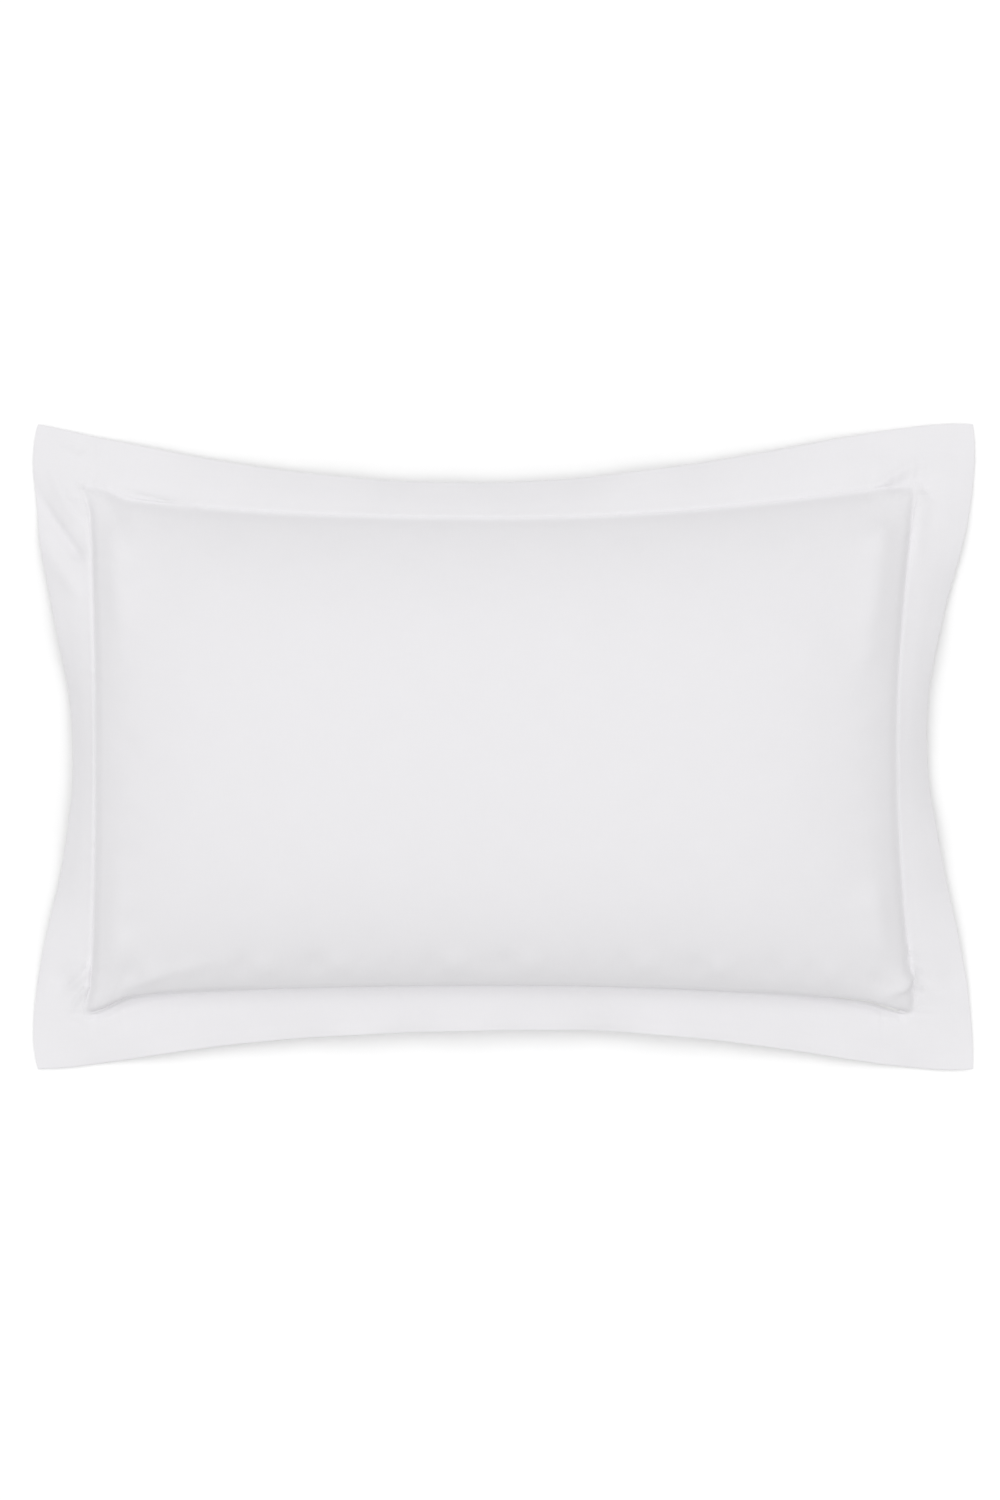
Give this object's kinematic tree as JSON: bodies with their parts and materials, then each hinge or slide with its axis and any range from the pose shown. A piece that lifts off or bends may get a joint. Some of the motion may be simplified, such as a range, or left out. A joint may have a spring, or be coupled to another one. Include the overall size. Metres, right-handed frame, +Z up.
{
  "type": "bed pillow",
  "caption": "Plump rectangular bed pillow in an Oxford pillowcase with a flat stitched border and an envelope opening on the back.",
  "frame": {"origin": "on the surface the pillow rests on, under the middle of its outline", "axes": "+X along the pillow's length towards the end with the envelope opening, +Y across its width towards the top edge, +Z up through its thickness, front face up"},
  "size_m": [0.835, 0.5728, 0.1609],
  "materials": {
    "percale_cotton": "smooth white cotton percale, matt with a faint sheen",
    "ticking": "close-woven off-white cotton ticking, matt",
    "polyester_fibre": "loose white hollow fibre",
    "sewing_thread": "white spun polyester thread, faint sheen",
    "label_tape": "white satin label tape, blank"
  },
  "bodies": {
    "root": {"case_front_panel": "percale_cotton", "case_back_panel": "percale_cotton", "case_flap_panel": "percale_cotton", "case_border_needle_thread": "sewing_thread", "case_border_bobbin_thread": "sewing_thread", "case_outer_seam_thread": "sewing_thread", "case_opening_hem_thread": "sewing_thread", "case_flap_hem_thread": "sewing_thread", "case_care_label": "label_tape", "insert_ticking_front": "ticking", "insert_ticking_back": "ticking", "insert_seam_thread": "sewing_thread", "insert_closing_thread": "sewing_thread", "insert_care_label": "label_tape", "fibre_filling": "polyester_fibre"}
  },
  "joints": []
}
